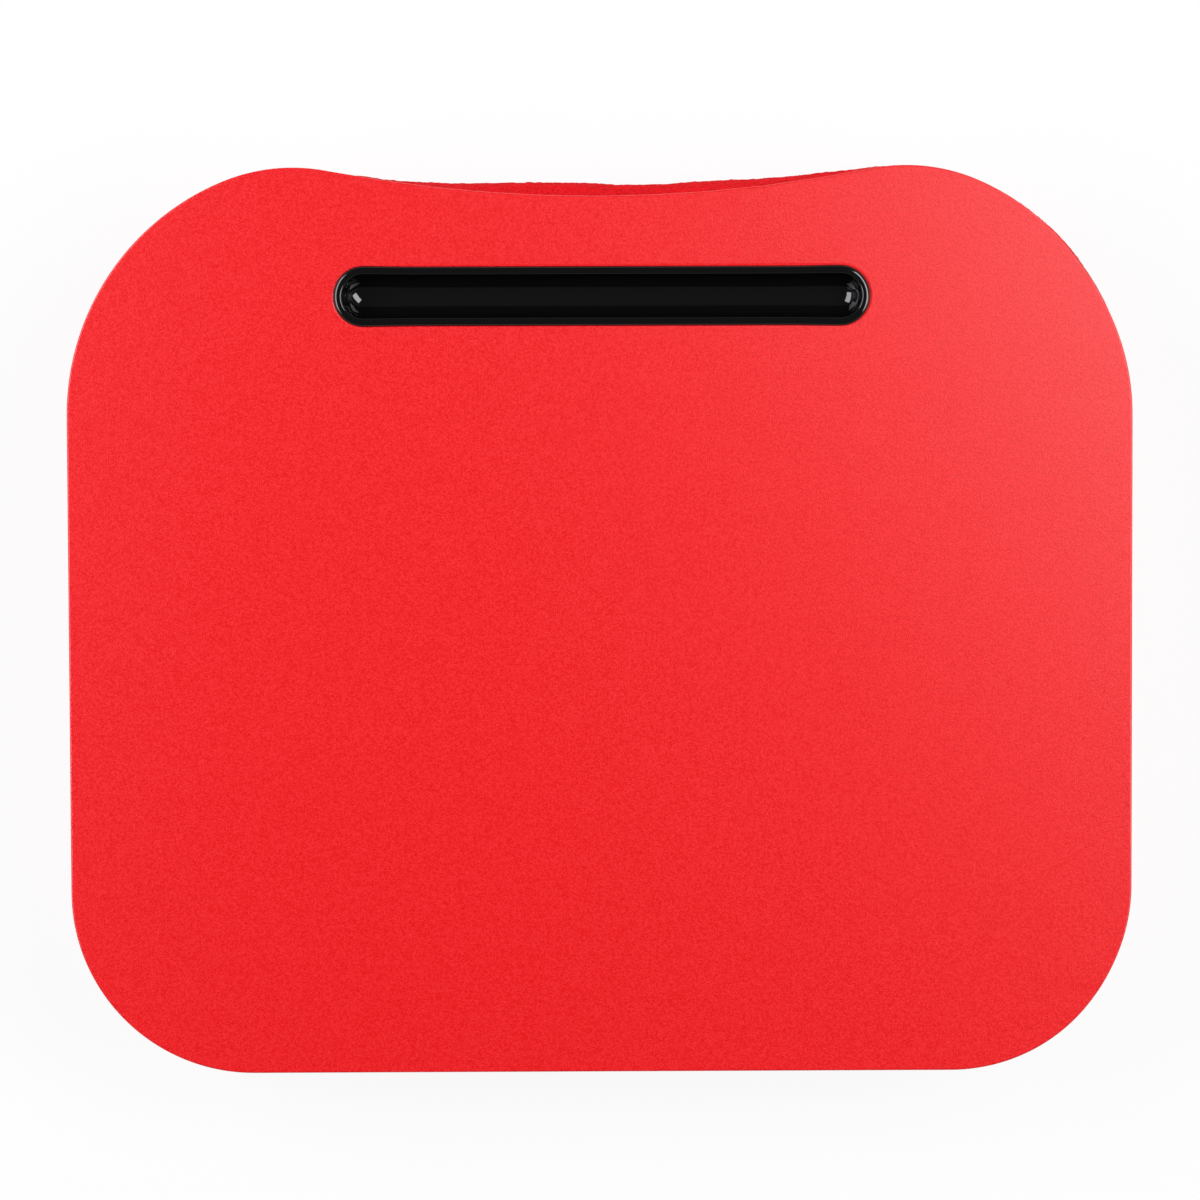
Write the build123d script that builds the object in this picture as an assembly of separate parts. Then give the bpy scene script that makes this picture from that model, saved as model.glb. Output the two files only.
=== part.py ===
from build123d import *
import math
import os

# A lap tray: a stiff foam-faced board on a soft cushion that is filled with beads.
# +X is the user's right, +Y points away from the user to the hollowed rear edge with the pen tray, +Z is up.
# The origin is on the table, under the middle of the tray. Lengths are in millimetres, angles in degrees.

# Board seen from above: straight front and sides, arcs at the corners, a shallow hollow in the rear edge
board_width = 380.0
board_depth = 323.5
front_corner_radius = 65.0
rear_corner_radius = 90.0
hump_radius = 65.5
rear_corner_sweep = 68.0
rear_hollow = 10.5

# Board through its thickness: a soft foam sheet glued on a hard plastic sheet
face_thickness = 3.0
face_edge_bevel = 0.7
core_thickness = 3.0
core_setback = 0.5

# Pen tray: one vacuum-formed channel with round ends and a raised rim that lies on the foam
tray_length = 191.0
tray_width = 21.2
tray_rear_margin = 46.0
tray_wall = 1.0
rim_width = 2.9
rim_height = 1.2
rim_bevel = 0.8
groove_wall_height = 2.0
groove_draft = 0.7
groove_lip_bevel = 0.5
slot_clearance = 0.3

# Cushion: a woven top panel, a fleece side band and a fleece bottom panel, sewn together
cushion_height = 48.0
belly_height = 26.0
belly_overhang = 1.5
belly_rear_hollow = 5.2
contact_width = 33.5
top_seam_inset = 6.0
top_seam_angle = 62.0
bottom_seam_height = 10.0
fleece_thickness = 1.6
top_panel_thickness = 1.0
side_draw_radius = 1500.0
front_draw_radius = 2400.0

# Inside the cushion: a thin bag and the beads that it holds
bag_thickness = 0.5
soft_clearance = 0.3

# Angles at which the rounded side of the cushion is drawn: -90 lies on the table, 0 is the belly
fleece_side_angles = (-90, -68, -46, -23, 0, 24, 48, 74)
filling_side_angles = (-90, -46, 0, 48, 74)

# Overrun for cuts that go right through
overrun = 20.0

board_underside = cushion_height
face_underside = board_underside + core_thickness
face_top = face_underside + face_thickness
rim_top = face_top + rim_height

tray_y = board_depth / 2 - tray_rear_margin
tray_span = tray_length - tray_width
rim_radius = tray_width / 2
mouth_radius = rim_radius - rim_width
groove_radius = mouth_radius - groove_draft
groove_centre_z = rim_top - groove_wall_height


def arc(centre, radius, start, end):
    """An arc about a centre, from one angle to another."""
    return CenterArc(centre, radius, start, end - start)


def mirrored(edges):
    """The same edges on the other side of the tray's middle."""
    return [edge.mirror(Plane.YZ) for edge in edges]


def angle_of(start, end):
    """Direction from one point to another."""
    return math.degrees(math.atan2(end[1] - start[1], end[0] - start[0]))


def rear_edges(half_width, rear_y, inset, hollow, corner_start):
    """Right half of the rear: corner arc, hump arc and half of the hollow, and the corner arc's centre and radius."""
    corner_radius = rear_corner_radius - inset
    top_radius = hump_radius - inset
    sweep = math.radians(rear_corner_sweep)
    step = corner_radius - top_radius
    corner = (half_width - corner_radius, rear_y - top_radius - step * math.sin(sweep))
    hump = (corner[0] + step * math.cos(sweep), corner[1] + step * math.sin(sweep))
    rise = rear_y - hollow - hump[1]
    hollow_radius = (hump[0] ** 2 + rise**2 - top_radius**2) / (2 * (top_radius - rise))
    hollow_centre = (0, rear_y - hollow + hollow_radius)
    hump_end = angle_of(hump, hollow_centre)
    start = corner_start(corner, corner_radius)
    return [
        arc(corner, corner_radius, start, rear_corner_sweep),
        arc(hump, top_radius, rear_corner_sweep, hump_end),
        arc(hollow_centre, hollow_radius, hump_end - 180, -90),
    ], (corner, corner_radius)


def board_outline(inset):
    """The board's outline, drawn in by an inset on every side."""
    half_width = board_width / 2 - inset
    half_depth = board_depth / 2 - inset
    radius = front_corner_radius - inset
    front_corner = (half_width - radius, -half_depth + radius)
    rear, (corner, _) = rear_edges(half_width, half_depth, inset, rear_hollow, lambda centre, size: 0)
    right = [
        Line((0, -half_depth), (front_corner[0], -half_depth)),
        arc(front_corner, radius, -90, 0),
        Line((half_width, front_corner[1]), (half_width, corner[1])),
        *rear,
    ]
    return make_face(Wire(right + mirrored(right)))


def cushion_outline(inset, hollow):
    """One level of the cushion: as the board's outline, but its front and sides are drawn in between the corners."""
    half_width = board_width / 2 - inset
    half_depth = board_depth / 2 - inset
    radius = front_corner_radius - inset
    front_corner = (half_width - radius, -half_depth + radius)

    def side_centre(corner, corner_radius):
        """Centre of the side's long arc, which touches the front and rear corner arcs from outside."""
        reach_rear = corner_radius + side_draw_radius
        reach_front = radius + side_draw_radius
        dx, dy = corner[0] - front_corner[0], corner[1] - front_corner[1]
        apart = math.hypot(dx, dy)
        along = (reach_front**2 - reach_rear**2 + apart**2) / (2 * apart)
        out = math.sqrt(reach_front**2 - along**2)
        return (
            front_corner[0] + (along * dx + out * dy) / apart,
            front_corner[1] + (along * dy - out * dx) / apart,
        )

    rear, (corner, corner_radius) = rear_edges(
        half_width, half_depth, inset, hollow, lambda centre, size: angle_of(centre, side_centre(centre, size))
    )
    side = side_centre(corner, corner_radius)
    front_reach = front_draw_radius + radius
    front = (0, front_corner[1] - math.sqrt(front_reach**2 - front_corner[0] ** 2))
    right = [
        arc(front, front_draw_radius, 90, angle_of(front, front_corner)),
        arc(front_corner, radius, angle_of(front_corner, front), angle_of(front_corner, side)),
        arc(side, side_draw_radius, angle_of(side, front_corner) % 360, angle_of(side, corner) % 360),
        *rear,
    ]
    left = mirrored(right)
    return make_face(Wire(right + left))


def side_point(angle, depth):
    """Inset and height of the cushion's rounded side at an angle, in a layer that lies a depth below its surface."""
    if angle <= 0:
        wide, tall = contact_width, belly_height
    else:
        tall = (cushion_height - belly_height) / math.sin(math.radians(top_seam_angle))
        wide = (top_seam_inset + belly_overhang) / (1 - math.cos(math.radians(top_seam_angle)))
    cos, sin = math.cos(math.radians(angle)), math.sin(math.radians(angle))
    normal = math.hypot(tall * cos, wide * sin)
    inset = -belly_overhang + wide * (1 - cos) + depth * tall * cos / normal
    height = belly_height + tall * sin - depth * wide * sin / normal
    return inset, height


def side_hollow(angle):
    """Depth of the rear hollow at an angle: the cushion follows the board's hollow only at its top seam."""
    if angle <= 0:
        return belly_rear_hollow
    share = (1 - math.cos(math.radians(angle))) / (1 - math.cos(math.radians(top_seam_angle)))
    return belly_rear_hollow + share * (rear_hollow - belly_rear_hollow)


def slab(low, high):
    """Everything between two heights."""
    box = Box(
        board_width + 2 * overrun, board_depth + 2 * overrun, high - low, align=(Align.CENTER, Align.CENTER, Align.MIN)
    )
    return Pos(0, 0, low) * box


def cushion_layer(depth, top, angles):
    """The cushion's whole form at a depth below its surface, drawn at some angles and cut level at the top."""
    sections = []
    for angle in angles:
        inset, height = side_point(angle, depth)
        sections.append(Pos(0, 0, height) * cushion_outline(inset, side_hollow(angle)))
    return loft(sections, ruled=True) & slab(0, top)


def groove_form(grow):
    """The pen groove's form, made larger all round: a half-round channel with drafted walls and round ends."""
    bottom = (0, groove_centre_z - groove_radius - grow)
    wall_foot = (groove_radius + grow, groove_centre_z)
    mouth = (mouth_radius + grow, rim_top)
    profile = [
        arc((0, groove_centre_z), groove_radius + grow, -90, 0),
        Line(wall_foot, mouth),
        Line(mouth, (0, rim_top)),
        Line((0, rim_top), bottom),
    ]
    return along_tray(make_face(Wire(profile)))


def along_tray(half_section):
    """Carries a half section, drawn from the channel's middle outwards, round the whole tray."""
    upright = Plane.YZ * half_section
    straight = extrude(upright, tray_span, dir=(1, 0, 0))
    half_turn = revolve(upright, Axis.Z, 180)
    right_end = Pos(tray_span / 2, 0, 0) * (Rot(0, 0, -180) * half_turn)
    left_end = Pos(-tray_span / 2, 0, 0) * half_turn
    middle = Pos(-tray_span / 2, 0, 0) * (straight + mirror(straight, Plane.XZ))
    return Pos(0, tray_y, 0) * (middle + right_end + left_end)


def slot(radius, low, high):
    """A straight-walled slot with round ends, under the pen tray."""
    outline = SlotCenterToCenter(tray_span, 2 * radius)
    return Pos(0, tray_y, low) * extrude(outline, high - low)


def make_face_sheet():
    """Foam sheet that forms the writing surface, with its upper edge bevelled and a slot for the pen tray."""
    sheet = Pos(0, 0, face_underside) * extrude(board_outline(0), face_thickness)
    upper_edges = sheet.edges().group_by(Axis.Z)[-1]
    sheet = chamfer(upper_edges, min(face_edge_bevel, face_thickness / 2))
    return sheet - slot(mouth_radius + tray_wall + slot_clearance, face_underside - overrun, face_top + overrun)


def make_core_board():
    """Hard sheet that stiffens the foam, cut a little smaller so that the foam covers its edge."""
    board = Pos(0, 0, board_underside) * extrude(board_outline(core_setback), core_thickness)
    return board - slot(mouth_radius + tray_wall + slot_clearance, board_underside - overrun, face_top)


def make_pen_tray():
    """The pen tray, from one thin section with a bevelled rim, a drafted wall and a half-round bottom."""
    bevel = min(rim_bevel, rim_height)
    foot = (groove_radius, groove_centre_z)
    foot_outside = (groove_radius + tray_wall, groove_centre_z)
    lip_low = (mouth_radius, rim_top - groove_lip_bevel)
    lip_high = (mouth_radius + groove_lip_bevel, rim_top)
    profile = [
        arc((0, groove_centre_z), groove_radius, -90, 0),
        Line(foot, lip_low),
        Line(lip_low, lip_high),
        Line(lip_high, (rim_radius - bevel, rim_top)),
        Line((rim_radius - bevel, rim_top), (rim_radius, rim_top - bevel)),
        Line((rim_radius, rim_top - bevel), (rim_radius, face_top)),
        Line((rim_radius, face_top), (mouth_radius + tray_wall, face_top)),
        Line((mouth_radius + tray_wall, face_top), foot_outside),
        arc((0, groove_centre_z), groove_radius + tray_wall, 0, -90),
        Line((0, groove_centre_z - groove_radius - tray_wall), (0, groove_centre_z - groove_radius)),
    ]
    return along_tray(make_face(Wire(profile)))


def make_cushion_parts():
    """The cushion's panels, bag and beads. Its top dips where the pen tray presses into it."""
    panel_underside = cushion_height - top_panel_thickness
    tray_outside = tray_wall + slot_clearance
    whole = cushion_layer(0, cushion_height, fleece_side_angles)
    cavity = cushion_layer(fleece_thickness, cushion_height, fleece_side_angles)
    fleece = whole - cavity

    panel_slab = slab(panel_underside, cushion_height)
    dip = groove_form(tray_outside + top_panel_thickness) & slab(0, cushion_height)
    top_panel = (whole & panel_slab) + dip - groove_form(tray_outside)

    bag_depth = fleece_thickness + soft_clearance
    bag_grow = tray_outside + top_panel_thickness + soft_clearance
    bag_top = panel_underside - soft_clearance
    bag_hollow_depth = bag_depth + bag_thickness
    bag_hollow_top = bag_top - bag_thickness
    bag = cushion_layer(bag_depth, bag_top, filling_side_angles) - groove_form(bag_grow)
    bag_hollow = cushion_layer(bag_hollow_depth, bag_hollow_top, filling_side_angles)
    bag_hollow -= groove_form(bag_grow + bag_thickness)

    fill_depth = bag_hollow_depth + soft_clearance
    fill_grow = bag_grow + bag_thickness + soft_clearance
    fill = cushion_layer(fill_depth, bag_hollow_top - soft_clearance, filling_side_angles) - groove_form(fill_grow)
    return {
        "cushion_top_panel": top_panel,
        "cushion_side_band": fleece & slab(bottom_seam_height, panel_underside),
        "cushion_bottom_panel": fleece & slab(0, bottom_seam_height),
        "bead_bag": bag - bag_hollow,
        "bead_fill": fill,
    }


parts = {
    "face_sheet": make_face_sheet(),
    "core_board": make_core_board(),
    "pen_tray": make_pen_tray(),
    **make_cushion_parts(),
}

os.makedirs("parts", exist_ok=True)
for name, shape in parts.items():
    export_step(shape, f"parts/{name}.step")
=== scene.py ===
import math

import bmesh
import bpy
from mathutils import Matrix, Vector, noise


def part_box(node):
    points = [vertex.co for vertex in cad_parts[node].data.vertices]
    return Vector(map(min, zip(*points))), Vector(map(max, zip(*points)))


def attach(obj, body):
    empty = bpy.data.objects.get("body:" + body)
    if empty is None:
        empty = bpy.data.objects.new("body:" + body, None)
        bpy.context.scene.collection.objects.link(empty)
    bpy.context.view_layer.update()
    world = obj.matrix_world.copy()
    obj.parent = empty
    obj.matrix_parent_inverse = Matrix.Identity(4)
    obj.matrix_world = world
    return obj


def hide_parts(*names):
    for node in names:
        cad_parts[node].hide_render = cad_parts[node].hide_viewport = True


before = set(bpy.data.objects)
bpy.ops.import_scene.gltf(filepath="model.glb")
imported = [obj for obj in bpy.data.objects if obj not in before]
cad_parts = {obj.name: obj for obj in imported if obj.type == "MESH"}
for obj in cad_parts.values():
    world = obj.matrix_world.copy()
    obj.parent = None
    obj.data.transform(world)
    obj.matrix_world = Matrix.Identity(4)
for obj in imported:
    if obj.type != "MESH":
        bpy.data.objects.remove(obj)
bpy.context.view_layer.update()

# The camera hangs 1.2 m above the board, a little to its rear, and looks almost straight down. In the
# picture the board stands just below the middle and is turned by a quarter of a degree.
photo_pixels = 1200
focal_pixels = 3362
board_right_pixels = 0.7
board_below_pixels = 21.1
camera_height = 1.2
camera_lean = math.radians(2.08)
camera_turn = math.radians(-0.253)
sensor_width = 36

board_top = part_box("face_sheet")[1].z
lens = bpy.data.cameras.new("camera")
lens.sensor_width = sensor_width
lens.lens = focal_pixels / photo_pixels * sensor_width
lens.shift_x = -board_right_pixels / photo_pixels
lens.shift_y = board_below_pixels / photo_pixels
camera = bpy.data.objects.new("camera", lens)
camera.matrix_world = (
    Matrix.Translation((0, 0, board_top))
    @ Matrix.Rotation(-camera_lean, 4, "X")
    @ Matrix.Translation((0, 0, camera_height))
    @ Matrix.Rotation(camera_turn, 4, "Z")
)
bpy.context.scene.collection.objects.link(camera)
bpy.context.scene.camera = camera


# The filling: loose white polystyrene beads. They give the whole cushion its form, pressed flat by the
# board above and the table below and swollen in between, so that form is made here and the cloth
# follows it.
cushion_voxel = 0.004
lump_height = 0.0004
lump_size = 0.035
held_height = 0.0025
spare_cloth = 0.006
air_pressure = 8
swelling_frames = 20
swelling_reach = 0.003
evening_rounds = 3
evening_share = 0.5
# Places where the rear side is fuller, or flatter: how far right and rearward each lies, how much fuller
# it is and how far that reaches.
fuller_places = (
    (0.005, 0.158, 0.0012, 0.060),
    (0.105, 0.160, 0.0009, 0.050),
    (0.152, 0.128, 0.0020, 0.045),
    (-0.068, 0.163, -0.0010, 0.015),
    (-0.015, 0.163, -0.0004, 0.018),
    (0.021, 0.163, -0.0015, 0.013),
    (0.057, 0.163, -0.0006, 0.012),
    (0.073, 0.163, 0.0006, 0.007),
)
filling_depth = 0.0027
seam_clearance = 0.0032
seam_clearance_width = 0.006
bead_size = 0.003
bead_gap_level = 0.2
bead_face_level = 0.7
bead_shade = (0.55, 0.55, 0.54, 1)
bead_white = (0.86, 0.86, 0.85, 1)


def new_piece(name, form):
    """A new object at the origin that holds a bmesh."""
    mesh = bpy.data.meshes.new(name)
    form.to_mesh(mesh)
    form.free()
    piece = bpy.data.objects.new(name, mesh)
    bpy.context.scene.collection.objects.link(piece)
    return piece


def settle(piece):
    """Applies the piece's modifiers to its mesh."""
    depsgraph = bpy.context.evaluated_depsgraph_get()
    mesh = bpy.data.meshes.new_from_object(piece.evaluated_get(depsgraph), depsgraph=depsgraph)
    piece.modifiers.clear()
    old = piece.data
    piece.data = mesh
    bpy.data.meshes.remove(old)


def points_and_normals(piece):
    """Every point of the piece's mesh with its normal, kept before any is moved."""
    normals = [corner.vector.copy() for corner in piece.data.vertex_normals]
    return list(zip(piece.data.vertices, normals))


seam_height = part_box("cushion_bottom_panel")[1].z
panel_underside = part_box("cushion_side_band")[1].z
board_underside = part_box("core_board")[0].z
tray_low, tray_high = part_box("pen_tray")


def in_dip(place):
    """Whether a place lies in the dip that the pen tray presses into the top."""
    under_tray = tray_low.x < place.x < tray_high.x and tray_low.y < place.y < tray_high.y
    return under_tray and place.z > board_underside / 2


def held_share(place):
    """How firmly the cloth is held: fully at its seams, where it is pressed flat and under the pen tray."""
    if place.z > panel_underside - held_height or place.z < held_height / 2 or in_dip(place):
        return 1
    return max(0, 1 - abs(place.z - seam_height) / held_height)


def swell(piece):
    """Blows the piece up as cloth, and lets no point of it move further than the swelling reaches."""
    starts = [point.co.copy() for point in piece.data.vertices]
    held = piece.vertex_groups.new(name="held")
    for point in piece.data.vertices:
        held.add([point.index], held_share(point.co), "REPLACE")
    cloth = piece.modifiers.new("swelling", "CLOTH")
    cloth.settings.vertex_group_mass = "held"
    cloth.settings.use_pressure = True
    cloth.settings.uniform_pressure_force = air_pressure
    cloth.settings.shrink_min = -spare_cloth
    cloth.settings.effector_weights.gravity = 0
    cloth.point_cache.frame_end = swelling_frames
    for number in range(1, swelling_frames + 1):
        bpy.context.scene.frame_set(number)
    settle(piece)
    bpy.context.scene.frame_set(1)
    for point, start in zip(piece.data.vertices, starts):
        moved = point.co - start
        point.co = start + moved * min(1, swelling_reach / max(moved.length, swelling_reach))


cushion_form = bmesh.new()
for node in ("cushion_side_band", "cushion_bottom_panel", "cushion_top_panel", "bead_fill"):
    cushion_form.from_mesh(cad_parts[node].data)
cushion = new_piece("cushion_form", cushion_form)
remesh = cushion.modifiers.new("remesh", "REMESH")
remesh.mode = "VOXEL"
remesh.voxel_size = cushion_voxel
settle(cushion)
for point, normal in points_and_normals(cushion):
    free = 1 - held_share(point.co)
    point.co += normal * lump_height * noise.noise(point.co / lump_size) * free
swell(cushion)
cushion_form = bmesh.new()
cushion_form.from_mesh(cushion.data)
free_points = [point for point in cushion_form.verts if held_share(point.co) < 1]
for _ in range(evening_rounds):
    bmesh.ops.smooth_vert(
        cushion_form,
        verts=free_points,
        factor=evening_share,
        use_axis_x=True,
        use_axis_y=True,
        use_axis_z=True,
    )
cushion_form.to_mesh(cushion.data)
cushion_form.free()
for point, normal in points_and_normals(cushion):
    upright = math.sin(math.pi * min(max(point.co.z / panel_underside, 0), 1))
    for right, rearward, fuller, reach in fuller_places:
        apart = (point.co.xy - Vector((right, rearward))).length / reach
        point.co += Vector((normal.x, normal.y, 0)) * fuller * upright * math.exp(-(apart**2))
    point.co.z = min(max(point.co.z, 0), board_underside)


class Signal:
    """One output in a tree of nodes. Sums on it add Math nodes."""

    def __init__(self, nodes, output):
        self.nodes = nodes
        self.output = output

    def __add__(self, other):
        return self.nodes.sum("ADD", self, other)

    def __sub__(self, other):
        return self.nodes.sum("SUBTRACT", self, other)

    def __rsub__(self, other):
        return self.nodes.sum("SUBTRACT", other, self)

    def __mul__(self, other):
        return self.nodes.sum("MULTIPLY", self, other)

    __radd__ = __add__
    __rmul__ = __mul__


class Nodes:
    """A tree of nodes, with short ways to add to it."""

    def __init__(self, owner):
        owner.use_nodes = True
        self.tree = owner.node_tree

    def feed(self, node, values):
        """Sets or links a node's sockets by their names or numbers."""
        for key, value in values.items():
            socket = node.inputs[key.replace("_", " ") if isinstance(key, str) else key]
            if isinstance(value, Signal):
                self.tree.links.new(value.output, socket)
            else:
                socket.default_value = value

    def node(self, kind, settings, values, output=0):
        """Adds a node and gives one of its outputs."""
        node = self.tree.nodes.new(kind)
        for key, value in settings.items():
            setattr(node, key, value)
        self.feed(node, values)
        return Signal(self, node.outputs[output])

    def sum(self, operation, first, second):
        """The outcome of a sum on two numbers."""
        return self.node("ShaderNodeMath", {"operation": operation}, {0: first, 1: second})

    def mask(self, signal, low, high):
        """0 below low, 1 above high and smooth between."""
        values = {"Value": signal, "From Min": low, "From Max": high}
        return self.node("ShaderNodeMapRange", {"interpolation_type": "SMOOTHSTEP"}, values)


class Finish(Nodes):
    """A material with one Principled shader."""

    def __init__(self, name, **settings):
        self.material = bpy.data.materials.new(name)
        super().__init__(self.material)
        self.shader = self.tree.nodes["Principled BSDF"]
        self.feed(self.shader, settings)
        self.place = self.node("ShaderNodeTexCoord", {}, {}, "Object")

    def grain(self, size, detail):
        """Noise from 0 to 1 whose lumps have a size in metres."""
        values = {"Vector": self.place, "Scale": 1 / size, "Detail": detail}
        return self.node("ShaderNodeTexNoise", {}, values, "Fac")

    def cells(self, size):
        """How far it is to the middle of the nearest cell, in cells of a size in metres."""
        return self.node("ShaderNodeTexVoronoi", {}, {"Vector": self.place, "Scale": 1 / size})

    def blend(self, share, first, second):
        """A colour between two."""
        return self.node("ShaderNodeMix", {"data_type": "RGBA"}, {0: share, 6: first, 7: second}, 2)

    def bump(self, height, depth, below=None):
        """A surface normal from a height from 0 to 1 and its depth in metres."""
        values = {"Height": height, "Distance": depth}
        if below:
            values["Normal"] = below
        return self.node("ShaderNodeBump", {}, values)

    def use(self, **values):
        """Feeds the shader, such as Base_Color."""
        self.feed(self.shader, values)

    def put_on(self, piece):
        """Gives a piece this finish alone."""
        piece.data.materials.clear()
        piece.data.materials.append(self.material)


def inner_form(name, depth):
    """A copy of the cushion's form that lies a depth inside it, and deeper along its seams."""
    piece = bpy.data.objects.new(name, cushion.data.copy())
    bpy.context.scene.collection.objects.link(piece)
    for point, normal in points_and_normals(piece):
        from_seam = min(abs(point.co.z - height) for height in (seam_height, panel_underside))
        drawn_in = seam_clearance * math.exp(-((from_seam / seam_clearance_width) ** 2))
        point.co -= normal * (depth + drawn_in * Vector(normal).xy.length)
    piece.data.shade_smooth()
    return piece


beads = Finish("white_polystyrene_beads", Roughness=0.6)
# Where the beads meet, their colour darkens towards bead_shade: painted shade in the gaps between the
# beads.
round_beads = 1 - beads.cells(bead_size)
bead_faces = beads.mask(round_beads, bead_gap_level, bead_face_level)
beads.use(
    Base_Color=beads.blend(bead_faces, bead_shade, bead_white),
    Normal=beads.bump(round_beads, bead_size / 2),
)
filling = inner_form("bead_filling", filling_depth)
beads.put_on(filling)
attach(filling, "root")
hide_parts("bead_fill")


# The inner bag: thin white non-woven cloth, welded from fine fibres in small scattered dots, which keeps
# the beads in when the cover is open. It lies loosely on the beads.
bag_depth = 0.0019
bag_thickness = 0.0005
bag_fibre_size = 0.0012
dot_spacing = 0.0025
dot_inner_share = 0.15
dot_outer_share = 0.3
bag_grey = (0.62, 0.62, 0.62, 1)
bag_white = (0.85, 0.85, 0.84, 1)

bag_cloth = Finish("white_nonwoven_cloth", Roughness=0.75)
bag_fibres = bag_cloth.grain(bag_fibre_size, detail=4)
off_dots = bag_cloth.mask(bag_cloth.cells(dot_spacing), dot_inner_share, dot_outer_share)
bag_cloth.use(
    Base_Color=bag_cloth.blend(bag_fibres * off_dots, bag_grey, bag_white),
    Normal=bag_cloth.bump(bag_fibres * 0.5 + off_dots * 0.5, bag_thickness / 2),
)
bag = inner_form("bead_bag_cloth", bag_depth)
bag_cloth.put_on(bag)
bag_wall = bag.modifiers.new("thickness", "SOLIDIFY")
bag_wall.thickness = bag_thickness
bag_wall.offset = -1
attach(bag, "root")
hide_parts("bead_bag")


# The bottom panel is cut from red fleece, a knitted cloth with a short raised nap that hides its loops.
# It lies flat on the table and curves up all round to the lower seam, where its edge is turned in and
# gathers a little.
rough_margin = 0.008
cut_tolerance = 1e-7
bottom_levels = 1
fleece_thickness = 0.0016
nap_depth = 0.0003
fine_nap_share = 0.7
seam_tuck = 0.0020
seam_width = 0.0022
tuck_steepness = 3
pucker_depth = 0.0008
pucker_length = 0.009
pucker_reach = 0.008
pucker_upright_share = 0.12
pucker_sharpness = 2.5
fine_pucker_share = 0.5
fine_pucker_scale = 2.3
pucker_patch = 0.05
usual_pucker_share = 0.6
patch_pucker_share = 0.8
tuft_size = 0.0011
tuft_share = 0.6
tuft_relief_share = 0.35
fibre_size = 0.0004
fibre_relief_share = 0.6
deep_tuft_level = 0.32
tuft_tip_level = 0.53
worn_patch_tufts = 14
worn_patch_share = 0.2
fleece_red = (0.98, 0.012, 0.019, 1)
# The darker red is painted shade for the hollows between the tufts, not a dye of the cloth.
fleece_hollow_shade_red = (0.50, 0.0005, 0.002, 1)
sheen_red = (1, 0.12, 0.12, 1)

fleece = Finish(
    "red_fleece",
    Roughness=0.95,
    Specular_IOR_Level=0.06,
    Sheen_Weight=0.08,
    Sheen_Roughness=0.4,
    Sheen_Tint=sheen_red,
)
tufts = fleece.grain(tuft_size, detail=3)
fibres = fleece.grain(fibre_size, detail=2)
worn_patches = fleece.grain(tuft_size * worn_patch_tufts, detail=2)
raised = tufts * tuft_share + fibres * (1 - tuft_share)
tips = fleece.mask(raised, deep_tuft_level, tuft_tip_level)
tuft_relief = fleece.bump(tufts, tuft_size * tuft_relief_share)
# The fleece darkens where its tufts lie low, which is painted shade in the hollows of the nap, mixed with
# larger patches of random tone.
fleece.use(
    Base_Color=fleece.blend(
        tips * (1 - worn_patch_share) + worn_patches * worn_patch_share, fleece_hollow_shade_red, fleece_red
    ),
    Normal=fleece.bump(fibres, fibre_size * fibre_relief_share, tuft_relief),
)


def cut_level(form, height, keep_above):
    """Cuts a form level at a height and keeps one side."""
    bmesh.ops.bisect_plane(
        form,
        geom=form.verts[:] + form.edges[:] + form.faces[:],
        dist=cut_tolerance,
        plane_co=(0, 0, height),
        plane_no=(0, 0, 1 if keep_above else -1),
        clear_inner=True,
    )


def nap(place):
    """Height of the fleece's tufts at a place, about 0 on average."""
    coarse = noise.noise(place / (tuft_size * 2))
    return nap_depth * (coarse + fine_nap_share * noise.noise(place / tuft_size))


def gather(piece, seams):
    """Turns the cloth in at seams at some heights, puckers it beside them and raises its nap."""
    for point, normal in points_and_normals(piece):
        place = point.co
        patch = usual_pucker_share + patch_pucker_share * noise.noise(place / pucker_patch)
        drawn_in = 0
        for height in seams:
            away = abs(place.z - height)
            along = Vector((place.x, place.y, place.z * pucker_upright_share)) / pucker_length
            ripple = noise.noise(along) + fine_pucker_share * noise.noise(along * fine_pucker_scale)
            crease = 1 - abs(ripple) * pucker_sharpness
            drawn_in += seam_tuck * math.exp(-((away / seam_width) ** 2))
            drawn_in += patch * pucker_depth * max(0, crease) ** 2 * math.exp(-away / pucker_reach)
        level = Vector((normal.x, normal.y, 0))
        outward = level.normalized() * min(1, level.length * tuck_steepness)
        point.co = place + normal * nap(place) - outward * drawn_in
        point.co.z = min(max(point.co.z, 0), board_underside)


def delete_crumbs(form):
    """Deletes the small loose bits that the cuts leave, and keeps the cloth itself."""
    left = set(form.verts)
    bits = []
    while left:
        bit = [left.pop()]
        for point in bit:
            joined = [edge.other_vert(point) for edge in point.link_edges]
            bit += [end for end in joined if end in left]
            left.difference_update(joined)
        bits.append(bit)
    bits.sort(key=len)
    crumbs = [point for bit in bits[:-1] for point in bit]
    bmesh.ops.delete(form, geom=crumbs, context="VERTS")


def cloth_panel(name, low, high, levels, seams):
    """The part of the swollen cushion between two heights, in finer mesh and gathered at its seams."""
    form = bmesh.new()
    form.from_mesh(cushion.data)
    cut_level(form, low - rough_margin, True)
    cut_level(form, high + rough_margin, False)
    piece = new_piece(name, form)
    finer = piece.modifiers.new("finer", "SUBSURF")
    finer.levels = finer.render_levels = levels
    settle(piece)
    gather(piece, seams)
    form = bmesh.new()
    form.from_mesh(piece.data)
    cut_level(form, low, True)
    cut_level(form, high, False)
    dip = [point for point in form.verts if in_dip(point.co)]
    bmesh.ops.delete(form, geom=dip, context="VERTS")
    delete_crumbs(form)
    form.to_mesh(piece.data)
    form.free()
    return piece


def thicken(piece, thickness):
    """Gives the cloth its thickness, on its inner side, and smooth shading."""
    solid = piece.modifiers.new("thickness", "SOLIDIFY")
    solid.thickness = thickness
    solid.offset = -1
    piece.data.shade_smooth()


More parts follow.
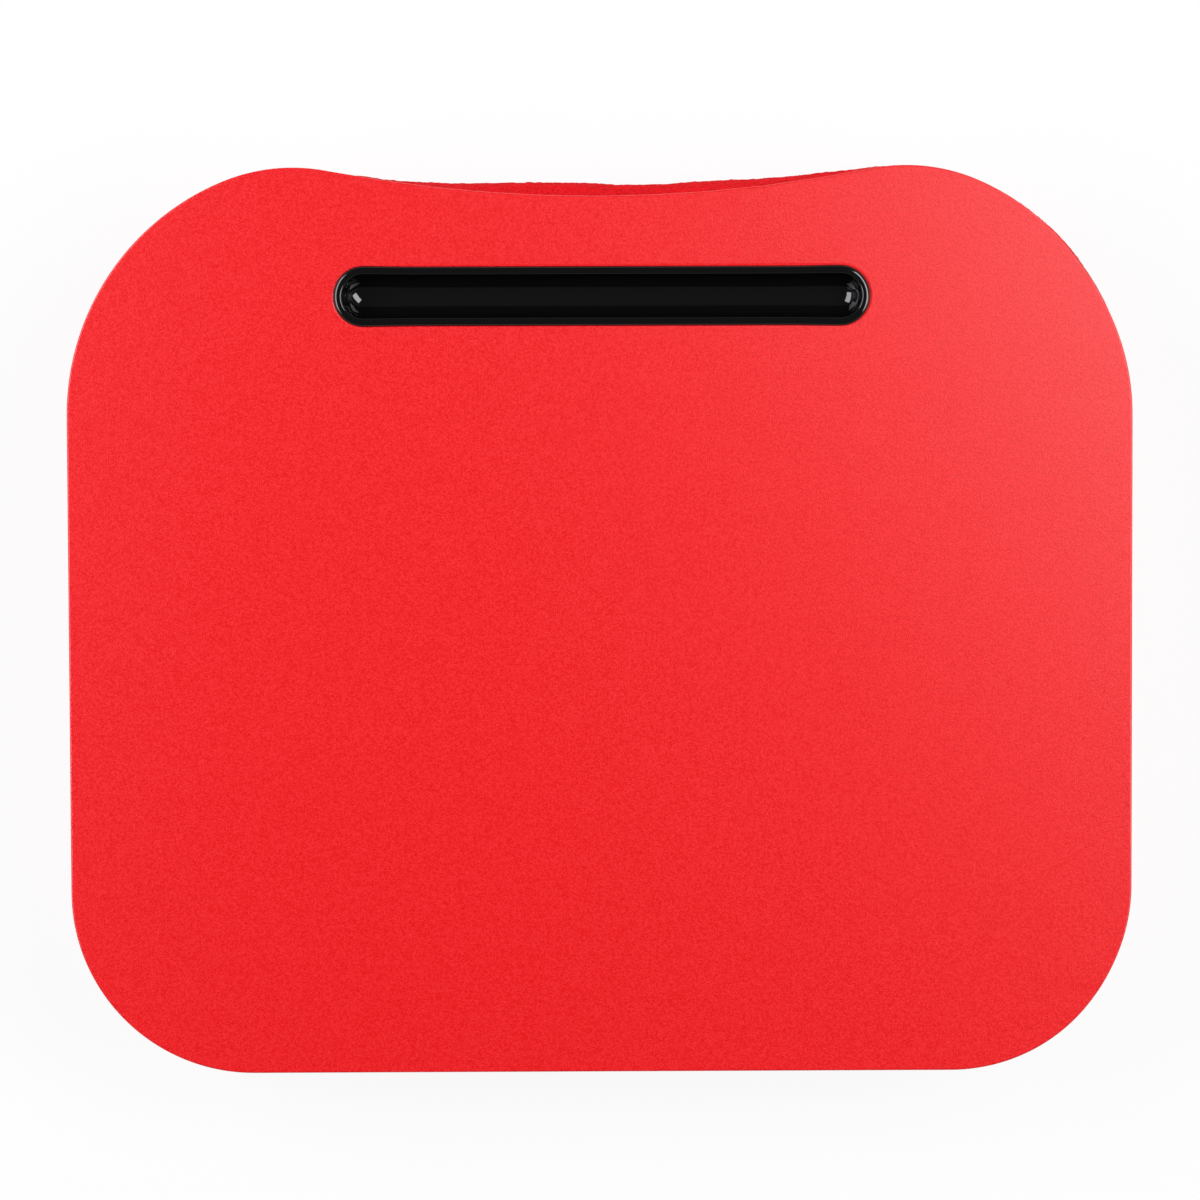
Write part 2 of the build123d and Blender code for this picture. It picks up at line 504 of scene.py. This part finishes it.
bottom_seams = (seam_height,)
bottom_panel = cloth_panel("fleece_bottom_panel", -rough_margin, seam_height, bottom_levels, bottom_seams)
thicken(bottom_panel, fleece_thickness)
fleece.put_on(bottom_panel)
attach(bottom_panel, "root")
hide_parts("cushion_bottom_panel")


# The side band is one long strip of the same fleece, sewn in a ring round the cushion. Both its edges are
# turned in at the seams, and it swells between them.
band_levels = 2
band_clearance = 0.0003
band_top = board_underside - band_clearance
band_seams = (seam_height, board_underside + seam_width)

side_band = cloth_panel("fleece_side_band", seam_height, band_top, band_levels, band_seams)
thicken(side_band, fleece_thickness)
fleece.put_on(side_band)
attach(side_band, "root")
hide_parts("cushion_side_band")


# The top panel is plain woven polyester, which the board hides. It is sewn to the band, lies flat against
# the hard sheet and dips under the pen tray.
merge_distance = 1e-6
yarn_width = 0.0005
yarn_relief_share = 0.3
wave_at_scale_one = 0.3
woven_red = (0.55, 0.008, 0.014, 1)
woven_dark_red = (0.30, 0.003, 0.006, 1)

woven = Finish("red_woven_polyester", Roughness=0.9, Specular_IOR_Level=0.1)
yarns = {"Vector": woven.place, "Scale": wave_at_scale_one / yarn_width}
warp = woven.node("ShaderNodeTexWave", {"bands_direction": "X"}, yarns)
weft = woven.node("ShaderNodeTexWave", {"bands_direction": "Y"}, yarns)
weave = warp * weft
woven.use(
    Base_Color=woven.blend(weave, woven_dark_red, woven_red),
    Normal=woven.bump(weave, yarn_width * yarn_relief_share),
)
top_form = bmesh.new()
top_form.from_mesh(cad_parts["cushion_top_panel"].data)
bmesh.ops.remove_doubles(top_form, verts=top_form.verts, dist=merge_distance)
top_panel = new_piece("woven_top_panel", top_form)
woven.put_on(top_panel)
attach(top_panel, "root")
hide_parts("cushion_top_panel")


# The hard sheet is red polypropylene with a fine moulded grain, cut to the board's outline. It is glued
# under the foam, which reaches half a millimetre past its edge.
moulded_grain_size = 0.0008
moulded_grain_depth = 0.00008
plastic_red = (0.62, 0.008, 0.012, 1)
plastic_deep_red = (0.54, 0.006, 0.009, 1)

hard_plastic = Finish("grained_red_plastic", Roughness=0.5, Specular_IOR_Level=0.3)
moulded_grain = hard_plastic.grain(moulded_grain_size, detail=3)
hard_plastic.use(
    Base_Color=hard_plastic.blend(moulded_grain, plastic_deep_red, plastic_red),
    Normal=hard_plastic.bump(moulded_grain, moulded_grain_depth),
)
hard_plastic.put_on(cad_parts["core_board"])


# The writing surface: a sheet of closed-cell foam, die-cut to the board's outline and glued on the hard
# sheet, with its two right corners cut a little closer. Its skin has a soft sheen and is very finely
# mottled, its upper edge is a little rounded and its cut edge is full of small cells.
board_half_width = 0.190
board_half_depth = 0.16175
front_corner_radius = 0.065
rear_corner_radius = 0.090
rear_corner_sweep = math.radians(68)
hump_radius = 0.0655
rear_hollow = 0.0105
arc_step = math.radians(2)
least_arc_steps = 2
# How far right and rearward each closer cut lies, how much closer it is and how far that reaches.
close_cuts = (
    (0.173, 0.121, 0.0011, 0.034),
    (0.183, -0.124, 0.0008, 0.030),
)
tray_fitting = Vector((0.0009, 0, 0))
tray_half_span = 0.0849
slot_radius = 0.009
edge_rounding = 0.0007
slot_rounding = 0.0024
rounding_steps = 5
sharp_angle = math.radians(45)
flat_level = 0.999
upward_level = 0.5
mottle_size = 0.0008
pore_size = 0.0004
pore_relief_share = 0.2
deep_grain_level = 0.35
pale_grain_level = 0.65
skin_roughness = 0.29
pale_roughness = 0.07
cell_size = 0.0004
cell_depth = 0.00012
foam_red = (0.767, 0.0003, 0.0025, 1)
foam_pale_red = (0.928, 0.0170, 0.0210, 1)
foam_edge_red = (0.66, 0.008, 0.011, 1)
foam_edge_dark_red = (0.42, 0.003, 0.005, 1)

foam_low, foam_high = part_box("face_sheet")
tray_middle = (tray_low + tray_high) / 2 + tray_fitting


def last_point(drawn):
    """The far point of what a spin has drawn."""
    return next(item for item in drawn["geom_last"] if isinstance(item, bmesh.types.BMVert))


def line_to(form, point, place):
    """Draws a straight edge on from a point, and gives its far point."""
    drawn = bmesh.ops.extrude_vert_indiv(form, verts=[point])["verts"][0]
    drawn.co = place
    return drawn


def arc_to(form, point, centre, turn):
    """Draws an arc on from a point about a centre, and gives its far point."""
    steps = max(least_arc_steps, round(abs(turn) / arc_step))
    drawn = bmesh.ops.spin(form, geom=[point], cent=centre, axis=(0, 0, 1), angle=turn, steps=steps)
    return last_point(drawn)


def draw_board(form, half_width, half_depth, height):
    """Draws the board's outline: its right half from the front to the rear, and then the left half."""
    front_corner = Vector((half_width - front_corner_radius, front_corner_radius - half_depth, height))
    step = rear_corner_radius - hump_radius
    toward_hump = Vector((math.cos(rear_corner_sweep), math.sin(rear_corner_sweep), 0))
    rear_corner = Vector((half_width - rear_corner_radius, half_depth - hump_radius, height))
    rear_corner.y -= step * toward_hump.y
    hump = rear_corner + step * toward_hump
    rise = half_depth - rear_hollow - hump.y
    hollow_radius = (hump.x**2 + rise**2 - hump_radius**2) / (2 * (hump_radius - rise))
    hollow = Vector((0, half_depth - rear_hollow + hollow_radius, height))
    hump_end = math.atan2(hollow.y - hump.y, hollow.x - hump.x)
    point = form.verts.new((0, -half_depth, height))
    point = line_to(form, point, (front_corner.x, -half_depth, height))
    point = arc_to(form, point, front_corner, math.pi / 2)
    point = line_to(form, point, (half_width, rear_corner.y, height))
    point = arc_to(form, point, rear_corner, rear_corner_sweep)
    point = arc_to(form, point, hump, hump_end - rear_corner_sweep)
    point = arc_to(form, point, hollow, math.pi / 2 - hump_end)
    geometry = form.verts[:] + form.edges[:]
    bmesh.ops.mirror(form, geom=geometry, matrix=Matrix(), merge_dist=merge_distance, axis="X")


def draw_slot(form, middle, half_span, radius, height):
    """Draws the slot that the pen tray drops into."""
    right = Vector((middle.x + half_span, middle.y, height))
    left = Vector((middle.x - half_span, middle.y, height))
    first = form.verts.new(right - Vector((0, radius, 0)))
    point = arc_to(form, first, right, math.pi)
    point = line_to(form, point, left + Vector((0, radius, 0)))
    point = arc_to(form, point, left, math.pi)
    form.edges.new((point, first))


foam_form = bmesh.new()
draw_board(foam_form, board_half_width, board_half_depth, foam_low.z)
draw_slot(foam_form, tray_middle, tray_half_span, slot_radius, foam_low.z)
bmesh.ops.remove_doubles(foam_form, verts=foam_form.verts, dist=merge_distance)
bmesh.ops.triangle_fill(foam_form, edges=foam_form.edges, normal=(0, 0, -1), use_beauty=True)
thick = bmesh.ops.extrude_face_region(foam_form, geom=foam_form.faces[:], use_keep_orig=True)["geom"]
upper_points = [item for item in thick if isinstance(item, bmesh.types.BMVert)]
bmesh.ops.translate(foam_form, verts=upper_points, vec=(0, 0, foam_high.z - foam_low.z))
bmesh.ops.recalc_face_normals(foam_form, faces=foam_form.faces)
for right, rearward, closer, reach in close_cuts:
    corner = Vector((right, rearward, 0))
    for point in foam_form.verts:
        apart = (point.co.xy - corner.xy).length / reach
        point.co -= corner.normalized() * closer * math.exp(-(apart**2))


def at_slot(edge):
    """Whether an edge lies at the slot, not on the board's outline."""
    return all(abs(end.co.x) < tray_high.x and tray_low.y < end.co.y < tray_high.y for end in edge.verts)


def at_top(edge):
    """Whether an edge is a sharp one of the upper face."""
    lowest = min(end.co.z for end in edge.verts)
    return lowest > foam_high.z - merge_distance and edge.calc_face_angle() > sharp_angle


def round_off(form, items, rounding, kind):
    """Rounds off sharp points or edges."""
    bmesh.ops.bevel(
        form, geom=items, offset=rounding, segments=rounding_steps, profile=0.5, affect=kind, material=-1
    )


for rounding, slotted in ((edge_rounding, False), (slot_rounding, True)):
    upper_edges = [edge for edge in foam_form.edges if at_top(edge) and at_slot(edge) == slotted]
    round_off(foam_form, upper_edges, rounding, "EDGES")
for face in foam_form.faces:
    face.smooth = abs(face.normal.z) < flat_level
    face.material_index = 0 if face.normal.z > upward_level else 1
foam_sheet = new_piece("foam_sheet", foam_form)

foam = Finish("red_foam_skin", IOR=1.59)
grains = foam.grain(mottle_size, detail=3) * 0.5 + foam.grain(pore_size, detail=2) * 0.5
pale_grains = foam.mask(grains, deep_grain_level, pale_grain_level)
foam.use(
    Base_Color=foam.blend(pale_grains, foam_red, foam_pale_red),
    Roughness=skin_roughness + pale_grains * pale_roughness,
    Normal=foam.bump(grains, pore_size * pore_relief_share),
)
cut_foam = Finish("red_foam_cut", Roughness=0.9, Specular_IOR_Level=0.1)
open_cells = cut_foam.cells(cell_size)
cut_foam.use(
    Base_Color=cut_foam.blend(open_cells, foam_edge_dark_red, foam_edge_red),
    Normal=cut_foam.bump(open_cells, cell_depth),
)
foam.put_on(foam_sheet)
foam_sheet.data.materials.append(cut_foam.material)
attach(foam_sheet, "root")
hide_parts("face_sheet")


# The pen tray is vacuum-formed from glossy black plastic: a half-round channel, a little wider at its
# round ends, whose raised rim lies on the foam. It is pressed down into its slot and glued.
tray_wall = 0.0008
rim_width = 0.0029
rim_draft = 0.0003
rim_rounding = 0.0011
lip_rounding = 0.0006
groove_wall_height = 0.002
groove_draft = 0.0002
groove_steps = 12
end_steps = 48
full_end_start = 0.066
full_end_share = 0.022
full_end_steps = 6
tray_turn = math.radians(-0.1)
forming_wave_size = 0.012
forming_wave_depth = 0.00006
gloss_grain_size = 0.0014
gloss_grain_depth = 0.00001
gloss_black = (0.0028, 0.0029, 0.0030, 1)

rim_radius = (tray_high.y - tray_low.y) / 2
mouth_radius = rim_radius - rim_width
groove_radius = mouth_radius - groove_draft
groove_z = tray_high.z - groove_wall_height
full_end = tray_half_span - full_end_start
end_centre = Vector((tray_half_span, 0, 0))


def tray_point(radius, height):
    """A place on the section that is swept round the tray's end."""
    return end_centre + Vector((0, -radius, height))


def groove_arc(form, point, turn):
    """Draws a quarter of the channel's round bottom on from a point."""
    centre = end_centre + Vector((0, 0, groove_z))
    drawn = bmesh.ops.spin(form, geom=[point], cent=centre, axis=(1, 0, 0), angle=turn, steps=groove_steps)
    return last_point(drawn)


tray_form = bmesh.new()
point = tray_form.verts.new(tray_point(0, groove_z - groove_radius))
point = groove_arc(tray_form, point, -math.pi / 2)
lip = line_to(tray_form, point, tray_point(mouth_radius, tray_high.z))
rim = line_to(tray_form, lip, tray_point(rim_radius - rim_draft, tray_high.z))
point = line_to(tray_form, rim, tray_point(rim_radius, board_top))
point = line_to(tray_form, point, tray_point(mouth_radius + tray_wall, board_top))
point = line_to(tray_form, point, tray_point(groove_radius + tray_wall, groove_z))
groove_arc(tray_form, point, math.pi / 2)
round_off(tray_form, [lip], lip_rounding, "VERTICES")
round_off(tray_form, [rim], rim_rounding, "VERTICES")
section = tray_form.verts[:] + tray_form.edges[:]
bmesh.ops.spin(tray_form, geom=section, cent=end_centre, axis=(0, 0, 1), angle=math.pi, steps=end_steps)
bmesh.ops.remove_doubles(tray_form, verts=tray_form.verts, dist=merge_distance)
rows = [tray_half_span - full_end * (step + 1) / full_end_steps for step in range(full_end_steps)]
for place in rows + [0]:
    ends = [edge for edge in tray_form.edges if edge.is_boundary]
    for item in bmesh.ops.extrude_edge_only(tray_form, edges=ends)["geom"]:
        if isinstance(item, bmesh.types.BMVert):
            item.co.x = place
geometry = tray_form.verts[:] + tray_form.edges[:] + tray_form.faces[:]
bmesh.ops.mirror(tray_form, geom=geometry, matrix=Matrix(), merge_dist=merge_distance, axis="X")
bmesh.ops.remove_doubles(tray_form, verts=tray_form.verts, dist=merge_distance)
bmesh.ops.recalc_face_normals(tray_form, faces=tray_form.faces)
for point in tray_form.verts:
    along = min(max((abs(point.co.x) - full_end_start) / full_end, 0), 1)
    point.co.y *= 1 + full_end_share * along**2 * (3 - 2 * along)
turned = Matrix.Rotation(tray_turn, 3, "Z")
bmesh.ops.rotate(tray_form, verts=tray_form.verts, cent=(0, 0, 0), matrix=turned)
bmesh.ops.translate(tray_form, verts=tray_form.verts, vec=(tray_middle.x, tray_middle.y, 0))
tray = new_piece("pen_tray_shell", tray_form)
tray.data.shade_smooth()

gloss = Finish("gloss_black_plastic", Base_Color=gloss_black, Roughness=0.07, IOR=1.65)
forming_waves = gloss.bump(gloss.grain(forming_wave_size, detail=2), forming_wave_depth)
gloss.use(Normal=gloss.bump(gloss.grain(gloss_grain_size, detail=2), gloss_grain_depth, forming_waves))
gloss.put_on(tray)
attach(tray, "root")
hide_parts("pen_tray")


# The studio: a white table that fades into a white surround, a long soft lamp on each side, both a little
# to the rear, and a dim ceiling.
floor_size = 6
floor_white = (0.9, 0.9, 0.9, 1)
plain_white = (1, 1, 1, 1)
white_share = 0.9
shadow_reach = 0.7
plain_reach = 2.5
lamp_distance = 1.5
ceiling_light = 0.06
wall_light = 0.5
wall_foot = 0.05
wall_top = 0.45


def seen_directly(nodes):
    """1 for rays from the camera, from a gloss or through glass, and 0 for the light on the object."""
    rays = nodes.tree.nodes.new("ShaderNodeLightPath").outputs
    seen = [Signal(nodes, rays[name]) for name in ("Is Camera Ray", "Is Glossy Ray", "Is Transmission Ray")]
    return nodes.sum("MINIMUM", seen[0] + seen[1] + seen[2], 1)


def soft_lamp(name, lean, rearward, turn, width, length, power, colour):
    """A rectangular lamp that leans from straight above to one side and the rear, turned in its plane."""
    data = bpy.data.lights.new(name, "AREA")
    data.shape = "RECTANGLE"
    data.size = width
    data.size_y = length
    data.energy = power
    data.color = colour
    lamp = bpy.data.objects.new(name, data)
    lamp.matrix_world = (
        Matrix.Rotation(math.radians(lean), 4, "Y")
        @ Matrix.Rotation(math.radians(-rearward), 4, "X")
        @ Matrix.Translation((0, 0, lamp_distance))
        @ Matrix.Rotation(math.radians(turn), 4, "Z")
    )
    bpy.context.scene.collection.objects.link(lamp)


floor_form = bmesh.new()
bmesh.ops.create_grid(floor_form, x_segments=1, y_segments=1, size=floor_size)
floor = new_piece("floor", floor_form)
paper = Finish("white_paper", Base_Color=floor_white, Roughness=0.9)
lit = Signal(paper, paper.shader.outputs[0])
glow = paper.node("ShaderNodeEmission", {}, {"Color": plain_white})
away = paper.node("ShaderNodeVectorMath", {"operation": "LENGTH"}, {0: paper.place}, "Value")
white = white_share + paper.mask(away, shadow_reach, plain_reach) * (1 - white_share)
mixed = paper.node("ShaderNodeMixShader", {}, {0: seen_directly(paper) * white, 1: lit, 2: glow})
paper.feed(paper.tree.nodes["Material Output"], {"Surface": mixed})
paper.put_on(floor)

soft_lamp(
    "right_lamp",
    lean=37.4,
    rearward=8,
    turn=42,
    width=0.68,
    length=1.35,
    power=17.9,
    colour=(1, 1, 1),
)
soft_lamp(
    "left_lamp",
    lean=-47.2,
    rearward=10.6,
    turn=-12,
    width=0.74,
    length=1.35,
    power=16.6,
    colour=(1, 1, 1.07),
)
world = bpy.data.worlds.new("studio")
bpy.context.scene.world = world
room = Nodes(world)
facing = room.node("ShaderNodeTexCoord", {}, {}, "Generated")
height = room.node("ShaderNodeSeparateXYZ", {}, {0: facing}, "Z")
wall = 1 - room.mask(height, wall_foot, wall_top)
camera_ray = Signal(room, room.tree.nodes.new("ShaderNodeLightPath").outputs["Is Camera Ray"])
brightness = room.sum("MAXIMUM", ceiling_light + wall * (wall_light - ceiling_light), camera_ray)
room.feed(room.tree.nodes["Background"], {"Color": plain_white, "Strength": brightness})
bpy.context.scene.view_settings.view_transform = "Standard"
bpy.data.objects.remove(cushion)
